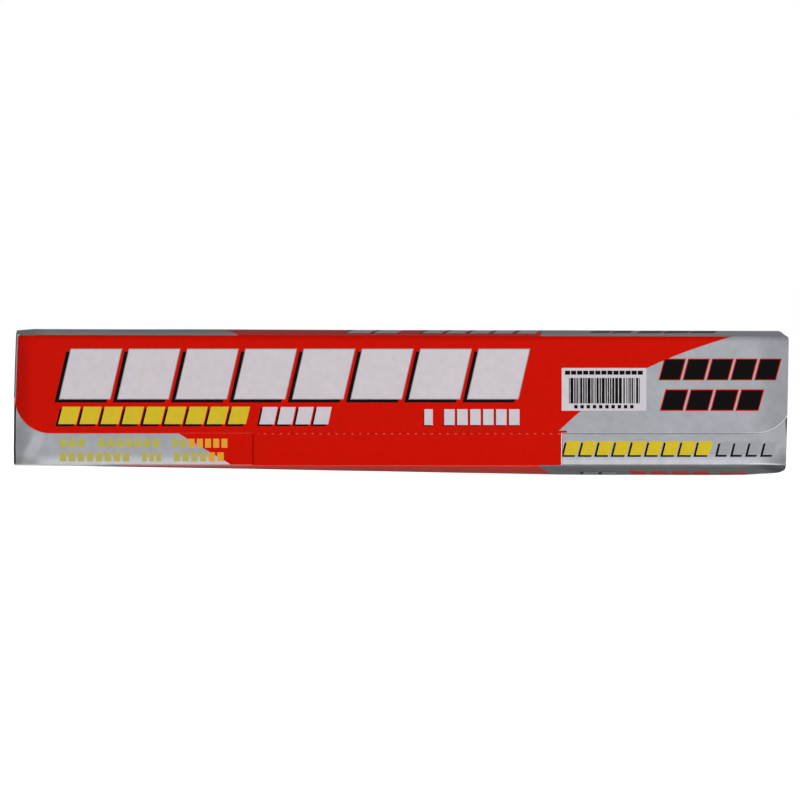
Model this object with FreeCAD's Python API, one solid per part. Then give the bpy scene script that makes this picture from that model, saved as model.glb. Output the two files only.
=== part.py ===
import FreeCAD, Part
import math
import os

# A sealed cardboard carton of kitchen foil, in millimetres. X runs along the carton, to the right
# as it is looked at from the front. The front faces -Y, and +Z is up. The carton can't be seen into,
# so it is one solid, with each overlapping layer of board standing proud by its own thickness.

Vector = FreeCAD.Vector

# The carton itself. Its length is taken between the bare end panels, under their glued flaps.
carton_length = 309.8
carton_depth = 52.0
front_height = 52.0
board = 0.45
fold_radius = 0.8

# How far each panel swells between its folds. The bottom swells more and more towards the right.
top_swell_left = 3.7
top_swell_right = 2.9
front_swell = 0.5
back_swell = 0.6
end_swell = 0.1
bottom_swell = 4.3
bottom_swell_left = 0.4
swell_start_inset = 51.0
swell_peak_inset = 35.0

# The swollen bottom is pressed flat by this much where the carton rests.
rest_flat = 0.3

# Handling has pushed the top to the right, pulled the right front corner down and left the top
# and the bottom panel sloping to their straight folds at the right end.
lean = 1.1
corner_drop = 1.5
corner_reach = 8.0
top_slope_length = 1.3
top_slope_height = 1.5
bottom_slope_length = 22.5
bottom_slope_height = 2.2

# The lid's front flap, with round lower corners, set a little to the right. Its root lies this
# deep inside the front panel, where it joins the rest.
flap_length = 313.1
flap_drop = 39.1
flap_corner = 14.5
flap_shift = 1.25
flap_root_depth = 2.0

# The lid's end flaps, which slope up to the hinge at the back.
lid_end_drop = 24.0
lid_end_flat = 30.0
lid_hinge_drop = 3.0
hinge_skin = 0.05

# The glued flap that closes each end, under the lid's.
closing_height = 44.0
closing_side_gap = 1.3
closing_foot_gap = 1.2
closing_corner = 7.0

# The glued tab that is torn off along a line of slots.
tab_length = 124.1
tab_shift = 2.85
tab_foot_gap = 0.1
slot_length = 2.0
slot_pitch = 3.2
slot_width = 0.4
slot_floor = 0.05

# Room for a cutting shape to run past the carton.
overrun = 15.0

half_length = carton_length / 2
half_depth = carton_depth / 2
bottom_fold_z = bottom_swell - rest_flat
top_fold_z = bottom_fold_z + front_height
flap_edge_z = top_fold_z - flap_drop
flap_root_y = flap_root_depth - half_depth
ceiling_z = top_fold_z + max(top_swell_left, top_swell_right) + overrun


def share_between(value, start, end):
    """0 up to start, 1 from end on, and a straight line between them."""
    return min(1.0, max(0.0, (value - start) / (end - start)))


def panel_edge(first, last, outward, swell):
    """One swollen panel in section: an arc from fold to fold, stopped a fold's length short of each."""
    crown = (first + last) * 0.5 + outward * swell
    arc = Part.Arc(first, crown, last)
    start = arc.value(arc.parameterAtDistance(fold_radius, arc.FirstParameter))
    end = arc.value(arc.parameterAtDistance(-fold_radius, arc.LastParameter))
    return start, end, Part.Arc(start, crown, end).toShape()


def fold_edge(before, corner, after):
    """The round fold between two panels, an arc that leaves both of them smoothly."""
    turn = (corner - before).getAngle(after - corner)
    chord_middle = (before + after) * 0.5
    reach = math.tan(turn / 4) / math.tan(turn / 2)
    crown = chord_middle + (corner - chord_middle) * reach
    return Part.Arc(before, crown, after).toShape()


def section_wire(x, front_layer, top_layer, back_layer):
    """The carton's section at one place along it, with layers added to the front, top and back."""
    along = share_between(x, -half_length, half_length)
    filling = share_between(x, swell_start_inset - half_length, half_length - swell_peak_inset)
    bottom = bottom_swell_left + (bottom_swell - bottom_swell_left) * filling
    top = top_swell_left + (top_swell_right - top_swell_left) * along
    pulled = corner_drop * share_between(x, half_length - corner_reach, half_length) ** 2
    upper_z = top_fold_z - board + top_layer
    front_y = -half_depth - front_layer
    back_y = half_depth + back_layer
    corners = [
        Vector(x, front_y, bottom_fold_z - pulled),
        Vector(x, back_y, bottom_fold_z),
        Vector(x, back_y, upper_z),
        Vector(x, front_y, upper_z),
    ]
    outwards = [Vector(0, 0, -1), Vector(0, 1, 0), Vector(0, 0, 1), Vector(0, -1, 0)]
    swells = [bottom, back_swell, top, front_swell]
    panels = []
    for index in range(4):
        following = corners[(index + 1) % 4]
        panels.append(panel_edge(corners[index], following, outwards[index], swells[index]))
    edges = []
    for index in range(4):
        edges.append(panels[index][2])
        next_panel = panels[(index + 1) % 4]
        edges.append(fold_edge(panels[index][1], corners[(index + 1) % 4], next_panel[0]))
    return Part.Wire(edges)


def tube_solid(front_layer, top_layer, back_layer):
    """The four long panels as one closed solid, longer than the carton, through its sections."""
    end_x = half_length + overrun
    start_x = swell_start_inset - half_length
    peak_x = half_length - swell_peak_inset
    corner_x = half_length - corner_reach
    span = peak_x - start_x
    places = [
        -end_x,
        -half_length,
        start_x,
        start_x + span / 3,
        start_x + span * 2 / 3,
        peak_x,
        corner_x,
        half_length - corner_reach / 2,
        half_length,
        end_x,
    ]
    wires = [section_wire(x, front_layer, top_layer, back_layer) for x in places]
    return Part.makeLoft(wires, True, True)


def end_block(layers):
    """Everything between the two end faces, which lean and swell, with layers of board on each end."""
    middle_z = (bottom_fold_z + top_fold_z) / 2
    reach_z = front_height / 2 + overrun
    shift = lean * reach_z / front_height
    face_x = half_length + layers * board
    swell = end_swell * (reach_z * 2 / front_height) ** 2
    low_z = middle_z - reach_z
    high_z = middle_z + reach_z
    left_low = Vector(-face_x - shift - end_swell + swell, 0, low_z)
    left_high = Vector(-face_x + shift - end_swell + swell, 0, high_z)
    right_low = Vector(face_x - shift + end_swell - swell, 0, low_z)
    right_high = Vector(face_x + shift + end_swell - swell, 0, high_z)
    left_crown = Vector(-face_x - end_swell, 0, middle_z)
    right_crown = Vector(face_x + end_swell, 0, middle_z)
    outline = Part.Wire([
        Part.LineSegment(left_low, right_low).toShape(),
        Part.Arc(right_low, right_crown, right_high).toShape(),
        Part.LineSegment(right_high, left_high).toShape(),
        Part.Arc(left_high, left_crown, left_low).toShape(),
    ])
    width = carton_depth + 2 * overrun
    outline.translate(Vector(0, -width / 2, 0))
    return Part.Face(outline).extrude(Vector(0, width, 0))


def side_block(points, start_x, end_x):
    """A straight block from start_x to end_x, with the outline that (y, z) points give."""
    corners = [Vector(start_x, y, z) for y, z in points]
    outline = Part.makePolygon(corners + corners[:1])
    return Part.Face(outline).extrude(Vector(end_x - start_x, 0, 0))


def front_block(points):
    """A block over the front panel, with the outline that (x, z) points give."""
    front_y = -half_depth - overrun
    corners = [Vector(x, front_y, z) for x, z in points]
    outline = Part.makePolygon(corners + corners[:1])
    return Part.Face(outline).extrude(Vector(0, flap_root_y - front_y, 0))


def lid_room():
    """The space that the lid's top and end flaps fill: its underside slopes up to the hinge."""
    front_y = -half_depth - overrun
    back_y = half_depth + overrun
    edge_z = top_fold_z - lid_end_drop
    hinge_z = top_fold_z - lid_hinge_drop
    reach_x = half_length + overrun
    points = [
        (front_y, edge_z),
        (lid_end_flat - half_depth, edge_z),
        (half_depth, hinge_z),
        (back_y, hinge_z),
        (back_y, ceiling_z),
        (front_y, ceiling_z),
    ]
    return side_block(points, -reach_x, reach_x)


def front_flap_room():
    """The space of the lid's front flap, with its two lower corners rounded."""
    left_x = flap_shift - flap_length / 2
    right_x = flap_shift + flap_length / 2
    high_z = top_fold_z - board
    block = front_block([(left_x, flap_edge_z), (right_x, flap_edge_z), (right_x, high_z), (left_x, high_z)])
    corners = []
    for edge in block.Edges:
        across = edge.BoundBox.YLength > edge.BoundBox.XLength + edge.BoundBox.ZLength
        if across and edge.BoundBox.ZMax < flap_edge_z + flap_corner:
            corners.append(edge)
    return block.makeFillet(flap_corner, corners)


def tab_room():
    """The space of the tear-off tab, from the flap's edge down to the round of the bottom fold."""
    left_x = tab_shift - tab_length / 2
    right_x = tab_shift + tab_length / 2
    low_z = bottom_fold_z + fold_radius + tab_foot_gap
    high_z = flap_edge_z + flap_corner
    return front_block([(left_x, low_z), (right_x, low_z), (right_x, high_z), (left_x, high_z)])


def tear_slots():
    """The row of slots that the tab tears along, cut through the flap's layer of board."""
    count = int(tab_length / slot_pitch)
    first_x = tab_shift - slot_pitch * (count - 1) / 2 - slot_length / 2
    share = (flap_edge_z - bottom_fold_z) / front_height
    panel_y = -half_depth - front_swell * 4 * share * (1 - share)
    depth = overrun
    slots = []
    for index in range(count):
        corner = Vector(first_x + index * slot_pitch, panel_y - slot_floor - depth, flap_edge_z)
        slots.append(Part.makeBox(slot_length, depth, slot_width, corner))
    return Part.makeCompound(slots)


def closing_flaps():
    """The glued flap on each end: hinged at the bottom, its upper corners cut, one board thick."""
    side_y = half_depth - closing_side_gap
    foot_z = bottom_fold_z + closing_foot_gap
    head_z = foot_z + closing_height
    points = [
        (-side_y, foot_z),
        (side_y, foot_z),
        (side_y, head_z - closing_corner),
        (side_y - closing_corner, head_z),
        (closing_corner - side_y, head_z),
        (-side_y, head_z - closing_corner),
    ]
    reach_x = half_length + overrun
    return end_block(1).common(side_block(points, -reach_x, reach_x))


def end_slopes():
    """What the slopes of the top and the bottom panel take away at the right end."""
    end_x = half_length + 2 * board + lean / 2
    top_z = top_fold_z + top_swell_right
    far_x = end_x + overrun
    width = carton_depth + 2 * overrun
    top_fall = top_slope_height / top_slope_length * overrun
    bottom_rise = bottom_slope_height / bottom_slope_length * overrun
    top_points = [
        Vector(end_x - top_slope_length, 0, top_z),
        Vector(far_x, 0, top_z - top_slope_height - top_fall),
        Vector(far_x, 0, ceiling_z),
        Vector(end_x - top_slope_length, 0, ceiling_z),
    ]
    bottom_points = [
        Vector(end_x - bottom_slope_length, 0, 0),
        Vector(end_x - bottom_slope_length, 0, -overrun),
        Vector(far_x, 0, -overrun),
        Vector(far_x, 0, bottom_slope_height + bottom_rise),
    ]
    wedges = []
    for points in (top_points, bottom_points):
        outline = Part.makePolygon(points + points[:1])
        outline.translate(Vector(0, -width / 2, 0))
        wedges.append(Part.Face(outline).extrude(Vector(0, width, 0)))
    return wedges


def foil_carton():
    """The whole carton, centred over its own footprint, with its pressed rest face at height 0."""
    body = tube_solid(0, 0, 0).common(end_block(0))
    cover = tube_solid(board, board, hinge_skin).common(end_block(2))
    lid = cover.common(lid_room())
    flap = cover.common(front_flap_room())
    tab = cover.common(tab_room())
    carton = body.fuse([closing_flaps(), lid, flap, tab])
    ground = Part.makeBox(carton_length * 2, carton_depth * 2, overrun)
    ground.translate(Vector(-carton_length, -carton_depth, -overrun))
    carton = carton.cut([tear_slots(), ground] + end_slopes())
    solid = carton.removeSplitter().Solids[0]
    box = solid.optimalBoundingBox(False, False)
    solid.translate(Vector(-box.Center.x, -box.Center.y, 0))
    return solid


os.makedirs("parts", exist_ok=True)
foil_carton().exportStep("parts/foil_carton.step")
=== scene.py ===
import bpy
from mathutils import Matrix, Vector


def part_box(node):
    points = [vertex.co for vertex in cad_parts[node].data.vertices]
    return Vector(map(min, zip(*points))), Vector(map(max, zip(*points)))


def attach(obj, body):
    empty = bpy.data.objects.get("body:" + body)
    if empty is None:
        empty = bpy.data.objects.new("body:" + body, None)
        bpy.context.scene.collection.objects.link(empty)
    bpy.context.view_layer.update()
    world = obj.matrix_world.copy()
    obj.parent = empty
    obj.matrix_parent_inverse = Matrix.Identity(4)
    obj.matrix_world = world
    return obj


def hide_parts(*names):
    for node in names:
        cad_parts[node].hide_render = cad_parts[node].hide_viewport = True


bl_info = {
    "name": "Sealed Foil Carton",
    "version": (1, 0, 0),
    "blender": (4, 5, 0),
    "location": "View3D > Sidebar > Carton",
    "description": "Builds a printed cardboard carton of kitchen foil, with its lid, tear-off tab and ends",
    "category": "Add Mesh",
}

import collections
import math

import bpy
import numpy as np

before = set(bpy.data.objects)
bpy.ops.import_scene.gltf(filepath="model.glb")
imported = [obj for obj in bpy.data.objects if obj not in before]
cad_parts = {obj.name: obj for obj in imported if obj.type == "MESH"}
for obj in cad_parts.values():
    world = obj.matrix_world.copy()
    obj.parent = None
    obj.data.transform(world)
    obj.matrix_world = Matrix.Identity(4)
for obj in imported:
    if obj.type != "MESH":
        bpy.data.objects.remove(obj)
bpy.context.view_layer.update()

# The CAD solid that every piece here stands for, and the body that it belongs to.
CARTON_NODE = "foil_carton"
CARTON_BODY = "root"
CAD_LOW, CAD_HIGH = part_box(CARTON_NODE)

MM = 0.001
FRONT, BOTTOM, BACK, TOP = (-1.0, 0.0), (0.0, -1.0), (1.0, 0.0), (0.0, 1.0)

# A row of printed blocks, in millimetres on its panel: from start to end across and from low to
# high. Each block leans by slant degrees. The shadow is the same row moved by a (across, up) step,
# and the rim is how far a second ink shows round each block.
BlockRow = collections.namedtuple(
    "BlockRow", "ink start end low high count gap slant shadow rim rim_ink", defaults=(0, None, 0, None)
)

# The red field of a panel, in millimetres: between a left and a right edge, each a place across the
# panel at a level and a slope, and the right one also bends with the cube of the height over it.
RedField = collections.namedtuple("RedField", "level left left_slope right right_slope right_cube")

# A spot of painted light or shade, in millimetres: a soft ellipse round (across, up) that leans to
# the right by lean for each step up, and how much of an ink it shows.
PaintedLightSpot = collections.namedtuple("PaintedLightSpot", "across up half_width half_height lean ink strength")

# A white label, in millimetres, with thin upright strips: count of them, bar wide, from bars_left on.
# Chance noise from the number first on makes each strip clear or dark, and bars where they meet.
BarLabel = collections.namedtuple(
    "BarLabel", "left right low high bars_left bars_low bars_high bar count first chance"
)


class CartonSizes(bpy.types.PropertyGroup):
    """Sizes of the carton, taken between its folds, before its panels swell."""

    carton_length: bpy.props.FloatProperty(
        name="Length", description="Between the bare end panels", default=309.8 * MM, unit="LENGTH")
    carton_depth: bpy.props.FloatProperty(
        name="Depth", description="Front panel to back panel", default=52.0 * MM, unit="LENGTH")
    front_height: bpy.props.FloatProperty(
        name="Front height", description="Bottom fold to top fold", default=52.0 * MM, unit="LENGTH")
    bottom_fold: bpy.props.FloatProperty(
        name="Bottom fold", description="Height of the bottom folds over the rest face",
        default=4.0 * MM, unit="LENGTH")
    board: bpy.props.FloatProperty(
        name="Board", description="Thickness of the cardboard", default=0.45 * MM, unit="LENGTH")
    fold_radius: bpy.props.FloatProperty(
        name="Fold radius", description="Outside of a pressed fold", default=0.8 * MM, unit="LENGTH")
    flap_drop: bpy.props.FloatProperty(
        name="Flap drop", description="Top fold to the front flap's free edge", default=38.75 * MM, unit="LENGTH")
    flap_length: bpy.props.FloatProperty(
        name="Flap length", description="Front flap from side to side", default=313.1 * MM, unit="LENGTH")
    flap_corner: bpy.props.FloatProperty(
        name="Flap corner", description="Radius of its lower corners", default=14.5 * MM, unit="LENGTH")
    flap_shift: bpy.props.FloatProperty(
        name="Flap shift", description="How far the flap sits to the right", default=1.25 * MM, unit="LENGTH")
    tab_length: bpy.props.FloatProperty(
        name="Tab length", description="Length of the tear-off tab", default=124.1 * MM, unit="LENGTH")
    tab_shift: bpy.props.FloatProperty(
        name="Tab shift", description="How far the tab sits to the right", default=2.85 * MM, unit="LENGTH")
    slot_pitch: bpy.props.FloatProperty(
        name="Slot pitch", description="Step of the slots that the tab tears along",
        default=3.2 * MM, unit="LENGTH")
    slot_length: bpy.props.FloatProperty(
        name="Slot length", description="Length of one slot", default=2.0 * MM, unit="LENGTH")
    slot_width: bpy.props.FloatProperty(
        name="Slot width", description="Height of one slot", default=0.4 * MM, unit="LENGTH")


class CartonColours(bpy.types.PropertyGroup):
    """Colours of the inks, the film, the bare board and the painted shade, as sRGB hex values."""

    silver: bpy.props.StringProperty(
        name="Silver film", description="Satin metal film on the board", default="#9B9EA3")
    red: bpy.props.StringProperty(name="Red ink", description="Main printed field", default="#C80E00")
    white: bpy.props.StringProperty(name="White ink", description="Large blocks", default="#CDC8CE")
    grey: bpy.props.StringProperty(name="Grey ink", description="Rims of the white blocks", default="#8E8B8C")
    yellow: bpy.props.StringProperty(name="Yellow ink", description="Small blocks", default="#D2B92C")
    amber: bpy.props.StringProperty(
        name="Yellow over red", description="Small blocks that the red shows through", default="#DDA038")
    black: bpy.props.StringProperty(name="Black ink", description="Shadows and dark blocks", default="#060404")
    # This red is also the bottom's ground: paler there as painted floor light on the downward-facing panel.
    worn_and_floor_lit_red: bpy.props.StringProperty(
        name="Rubbed red", description="Red ink worn thin, at nicks, cuts and below", default="#E84438")
    # This red is painted shadow in the tab's left joint.
    joint_shadow_red: bpy.props.StringProperty(
        name="Deep red", description="Red ink in the tab's left joint", default="#A20B03")
    pale: bpy.props.StringProperty(
        name="Thin yellow ink", description="Small blocks that the film shows through", default="#B4AE5C")
    bare: bpy.props.StringProperty(name="Board coating", description="Inside and cut edges", default="#E2E2E2")
    core: bpy.props.StringProperty(name="Board core", description="Pulp that a cut lays open", default="#7A797A")
    # This colour is painted shade on the turn into the front flap's left end.
    left_end_shade: bpy.props.StringProperty(
        name="Scuffed edge", description="Left front edge, rubbed through and dirty", default="#38302F")


# The swelling of the panels and the marks of handling, in metres.
TOP_SWELL_LEFT, TOP_SWELL_RIGHT = 3.4 * MM, 2.95 * MM
BOTTOM_PLACES = np.array([-150.0, -137.0, -123.0, 65.0, 125.0]) * MM
BOTTOM_SWELLS = np.array([0.0, 0.0, 0.45, 3.95, 4.2]) * MM
FRONT_SWELL, BACK_SWELL, END_SWELL = 0.4 * MM, 0.5 * MM, 0.1 * MM
BOTTOM_END_LENGTH, BOTTOM_END_SHARE = 24.0 * MM, 0.44
TOP_END_RIGHT, TOP_END_LEFT = 1.3 * MM, 6.0 * MM
TOP_RIGHT_FALL, TOP_LEFT_FALL = 0.5, 0.27
CORNER_DROP, CORNER_REACH = 0.4 * MM, 12.0 * MM
FOLD_LIFT, LIFT_FULL, LIFT_REACH = 0.25 * MM, 2.0 * MM, 26.0 * MM
LEAN = 1.04 * MM

# At the left end the crushed lid stands up behind its front fold at once, and at the right end the
# bottom hangs down behind its fold in the same way: there the panel's arc changes from a parabola
# into one with a high power, over a reach.
ARC_POWER = 2.0
ROOF_POWER_LEFT, ROOF_REACH = 11.0, 9.0 * MM
FLOOR_POWER_RIGHT, FLOOR_REACH = 14.0, 9.0 * MM

# The layers of board that an end stands out by where they are pressed together along the front
# fold, on the left (-1) and on the right (1), and along the back fold.
BODY_PRESSED = {-1: 1.03, 1: 2.1}
LID_PRESSED = {-1: 1.2, 1: 2.05}
BODY_BACK, LID_BACK = 1.0, 2.0
PRESSED_REACH = 6.0 * MM

# How far the front fold of an end swells sideways at its middle height.
FOLD_SWELL = {-1: 0.25 * MM, 1: 0.0}

# The fold over the front flap is soft: a wide arc, drawn up by these steps at the left and the right.
RISE_LEFT, RISE_RIGHT, TOP_FOLD_REACH = 0.5 * MM, -0.2 * MM, 2.0 * MM

# The sizes above are about the middle of the body; the frame's origin is under the middle of the
# whole carton, so every point moves by this step.
TO_FRAME = np.array([-0.24, 0.175, 0.0]) * MM
SOFT_FOLD_HEIGHT, SOFT_FOLD_DEPTH = 7.0 * MM, 0.45 * MM
WAVE_HEIGHT = 0.05 * MM

CUT_RADIUS = 0.05 * MM
RIBBON_PROUD = 0.03 * MM
TAB_FOOT_GAP = 0.4 * MM

# The lid's end flaps and the glued flaps under them, in metres.
LID_END_DROP, LID_END_FLAT, LID_HINGE_DROP, LID_INSET = 24.0 * MM, 30.0 * MM, 3.0 * MM, 0.42 * MM
CLOSING_HEIGHT, CLOSING_SIDE_GAP, CLOSING_FOOT_GAP = 44.0 * MM, 1.3 * MM, 0.6 * MM
CLOSING_CORNER = 7.0 * MM

# How finely the surfaces are laid out.
END_COLUMNS, END_STRETCH = 30, 15.0 * MM
MIDDLE_COLUMNS = 120
PANEL_ROWS = 20
FRONT_ROWS_COUNT = 46
FOLD_ROWS = 7
FLAP_CORNER_ROWS = 26
EDGE_COLUMNS = 5
SHARP_ANGLE = math.radians(42)

# A sheet is a little thinner than the board's step, so that layers don't touch.
SHEET_SHARE = 0.85


def linear_colour(text):
    """An sRGB hex value as linear red, green, blue and full alpha, by the sRGB curve."""
    channels = [int(text[place:place + 2], 16) / 255 for place in (1, 3, 5)]
    straight = [c / 12.92 if c <= 0.04045 else ((c + 0.055) / 1.055) ** 2.4 for c in channels]
    return (*straight, 1.0)


def ramp(value, start, end):
    """0 up to start, 1 from end on, and a straight line between them."""
    return np.clip((value - start) / (end - start), 0.0, 1.0)


def levels(sizes):
    """Heights of the bottom fold, the top fold and the front flap's free edge."""
    top_fold = sizes.bottom_fold + sizes.front_height
    return sizes.bottom_fold, top_fold, top_fold - sizes.flap_drop


def panel_points(first, last, outward, swell, shares, power=2.0):
    """A swollen panel: straight from fold to fold, plus outward times swell times 1 - |2 s - 1| to a
    power, which is a parabola at power 2."""
    s = shares[:, None]
    bulge = swell * (1 - np.abs(2 * s - 1) ** power)
    return first + (last - first) * s[..., None] + np.array(outward) * bulge[..., None]


def roof_power(x, sizes):
    """The power of the roof's arc at each x: higher by the square of the way to the left end."""
    left = 1 - ramp(x, -sizes.carton_length / 2, ROOF_REACH - sizes.carton_length / 2)
    return ARC_POWER + (ROOF_POWER_LEFT - ARC_POWER) * left ** 2


def floor_power(x, sizes):
    """The power of the bottom's arc at each x: higher by the square of the way to the right end."""
    right = ramp(x, sizes.carton_length / 2 - FLOOR_REACH, sizes.carton_length / 2)
    return ARC_POWER + (FLOOR_POWER_RIGHT - ARC_POWER) * right ** 2


def fold_points(before, corner, after):
    """A round fold: the quadratic curve from panel to panel that heads for the corner at both ends,
    with the corner's weight so that it is an arc where the panels are square to each other."""
    t = np.linspace(0, 1, FOLD_ROWS + 2)[1:-1, None, None]
    shares = (1 - t) ** 2, math.sqrt(2) * t * (1 - t), t ** 2
    return (before * shares[0] + corner * shares[1] + after * shares[2]) / sum(shares)


def section_corners(x, sizes):
    """The four folds as (y, z) at each x: front low, back low, back top, front top. The front low
    fold is lifted at the left end, and sinks towards the right one with the square of the way along
    its last stretch."""
    low, high, _ = levels(sizes)
    half_length = sizes.carton_length / 2
    half_depth = sizes.carton_depth / 2
    sunk = CORNER_DROP * ramp(x, half_length - CORNER_REACH, half_length) ** 2
    sunk -= FOLD_LIFT * (1 - ramp(x, LIFT_FULL - half_length, LIFT_REACH - half_length))
    level = np.ones_like(x)
    return (
        np.stack([-half_depth * level, low - sunk], axis=1),
        np.stack([half_depth * level, low * level], axis=1),
        np.stack([half_depth * level, high * level], axis=1),
        np.stack([-(half_depth + sizes.board) * level, high * level], axis=1),
    )


def bottom_swell(x, sizes):
    """How far the bottom swells: straight stretches between known places, of which a quarter ellipse
    takes all but a share away at the right end."""
    half_length = sizes.carton_length / 2
    end = ramp(x, half_length - BOTTOM_END_LENGTH, half_length)
    kept = BOTTOM_END_SHARE + (1 - BOTTOM_END_SHARE) * np.sqrt(1 - end ** 2)
    return np.interp(x, BOTTOM_PLACES, BOTTOM_SWELLS) * kept


def top_swell(x, sizes):
    """How far the top swells: a straight change along the carton, falling to the folds at its ends."""
    half_length = sizes.carton_length / 2
    along = ramp(x, -half_length, half_length)
    swell = TOP_SWELL_LEFT + (TOP_SWELL_RIGHT - TOP_SWELL_LEFT) * along
    right = 1 - TOP_RIGHT_FALL * ramp(x, half_length - TOP_END_RIGHT, half_length)
    left = 1 - TOP_LEFT_FALL * (1 - ramp(x, -half_length, TOP_END_LEFT - half_length))
    return swell * right * left


def end_place(y, z, side, layers, lid, sizes):
    """Where an end face is at (y, z): it leans to the right with height and swells at its middle, and
    its layers of board are pressed together along the front and the back fold. lid is 0 on the body
    and 1 on the lid."""
    low, high, _ = levels(sizes)
    half_depth = sizes.carton_depth / 2
    height = (z - (low + high) / 2) / sizes.front_height
    upright = np.clip(1 - 4 * height ** 2, 0, 1)
    middle = upright * np.clip(1 - (y / half_depth) ** 2, 0, 1)
    front_layers = BODY_PRESSED[side] + (LID_PRESSED[side] - BODY_PRESSED[side]) * lid
    back_layers = BODY_BACK + (LID_BACK - BODY_BACK) * lid
    front = 1 - ramp(y, -half_depth, PRESSED_REACH - half_depth)
    back = ramp(y, half_depth - PRESSED_REACH, half_depth)
    count = layers + (front_layers - layers) * front + (back_layers - layers) * back
    swell = END_SWELL * middle + FOLD_SWELL[side] * upright * front
    reach = sizes.carton_length / 2 + count * sizes.board + swell
    return side * reach + LEAN * height


def flap_reach(z, side, sizes):
    """Where the front flap ends at height z: a quarter circle at its lower corner, above that the
    straight cut side, and never past the carton's end."""
    _, _, edge = levels(sizes)
    radius = sizes.flap_corner
    drop = np.clip(edge + radius - z, 0, radius)
    round_in = radius - np.sqrt(radius ** 2 - drop ** 2)
    cut = sizes.flap_shift + side * (sizes.flap_length / 2 - round_in)
    end = end_place(-sizes.carton_depth / 2, z, side, 2, 1, sizes)
    return np.minimum(cut, end) if side > 0 else np.maximum(cut, end)


def waves(x, way, sizes):
    """Slight waviness of the board: four sine waves that cross each other, in metres."""
    long_waves = np.sin(x / 0.021 + way / 0.033) + np.sin(x / 0.034 - way / 0.017 + 1.3)
    short_waves = np.sin(x / 0.0113 + way / 0.012 + 0.6) + np.sin(x / 0.0081 - way / 0.019 + 2.1)
    return WAVE_HEIGHT * (0.6 * long_waves + 0.25 * short_waves)


def dents(x, z):
    """Soft creases by the front panel's two lower corners, as ridges with a bell-shaped section."""
    left = crease(x, z, (-151.8, 6.5), (-147.0, 15.5), 1.7, 0.32)
    left += crease(x, z, (-146.5, 10.5), (-142.0, 16.0), 1.4, 0.14)
    left += crease(x, z, (-155.0, 8.0), (-149.5, 4.6), 1.0, -0.2)
    right = crease(x, z, (155.5, 11.0), (149.0, 5.2), 1.1, -0.28)
    right += crease(x, z, (155.0, 14.0), (148.0, 8.5), 1.5, 0.16)
    return left + right


def crease(x, z, start, end, width, height):
    """One ridge, in millimetres, from start to end: it fades beside its line and past its ends."""
    ahead = np.array(end) - np.array(start)
    length = np.hypot(*ahead)
    ahead = ahead / length
    dx = x / MM - start[0]
    dz = z / MM - start[1]
    along = dx * ahead[0] + dz * ahead[1]
    beside = dz * ahead[0] - dx * ahead[1]
    past = np.maximum(np.maximum(-along, along - length), 0)
    return height * MM * np.exp(-(beside / width) ** 2 - (past / (2 * width)) ** 2)


def grid_normals(points):
    """Unit normals of a grid of points: the cross product of its row and column directions."""
    across = np.cross(np.gradient(points, axis=0), np.gradient(points, axis=1))
    size = np.linalg.norm(across, axis=2, keepdims=True)
    return across / np.maximum(size, 1e-12)


def shell_mesh(name, points, normals, thickness, outside_materials, materials):
    """A sheet with thickness: the grid outside, the same grid moved in along its normals inside, and
    a rim round the four sides. The first material is the bare board of the inside and the rim, and
    outside_materials gives one number a row, as a column, or one a face."""
    rows, columns, _ = points.shape
    inner = points - normals * thickness
    vertices = np.concatenate([points.reshape(-1, 3), inner.reshape(-1, 3)])
    index = np.arange(rows * columns).reshape(rows, columns)
    outside = quads(index)
    inside = quads(index)[:, ::-1] + rows * columns
    loop = np.concatenate([index[:-1, 0], index[-1, :-1], index[:0:-1, -1], index[0, :0:-1]])
    ahead = np.roll(loop, -1)
    rim = np.stack([loop, loop + rows * columns, ahead + rows * columns, ahead], axis=1)
    faces = np.concatenate([outside, inside, rim])
    kinds = np.broadcast_to(outside_materials, (rows - 1, columns - 1)).ravel()
    kinds = np.concatenate([kinds, np.zeros(len(faces) - len(kinds), dtype=int)])
    return make_piece(name, vertices, faces, kinds, materials)


def quads(index):
    """The four-cornered faces of a grid of vertex numbers, turned so that they face outwards."""
    corners = [index[:-1, :-1], index[1:, :-1], index[1:, 1:], index[:-1, 1:]]
    return np.stack(corners, axis=2).reshape(-1, 4)


def make_piece(name, vertices, faces, kinds, materials):
    """A mesh object from arrays, smooth over its folds and sharp at its rims."""
    mesh = bpy.data.meshes.new(name)
    mesh.vertices.add(len(vertices))
    mesh.vertices.foreach_set("co", (vertices + TO_FRAME).astype(np.float32).ravel())
    mesh.loops.add(faces.size)
    mesh.loops.foreach_set("vertex_index", faces.astype(np.int32).ravel())
    mesh.polygons.add(len(faces))
    mesh.polygons.foreach_set("loop_start", np.arange(0, faces.size, 4, dtype=np.int32))
    for material in materials:
        mesh.materials.append(material)
    mesh.polygons.foreach_set("material_index", kinds.astype(np.int32))
    mesh.update(calc_edges=True)
    mesh.validate()
    mesh.polygons.foreach_set("use_smooth", np.ones(len(mesh.polygons), dtype=bool))
    mesh.set_sharp_from_angle(angle=SHARP_ANGLE)
    piece = bpy.data.objects.new(name, mesh)
    bpy.context.scene.collection.objects.link(piece)
    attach(piece, CARTON_BODY)
    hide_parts(CARTON_NODE)
    return piece


def add_node(tree, kind, settings=None, feeds=None):
    """Add one node, set its properties, and feed its sockets from links or with plain values."""
    node = tree.nodes.new(kind)
    for name, value in (settings or {}).items():
        setattr(node, name, value)
    for socket, feed in (feeds or {}).items():
        if isinstance(feed, bpy.types.NodeSocket):
            tree.links.new(feed, node.inputs[socket])
        else:
            node.inputs[socket].default_value = feed
    return node


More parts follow.
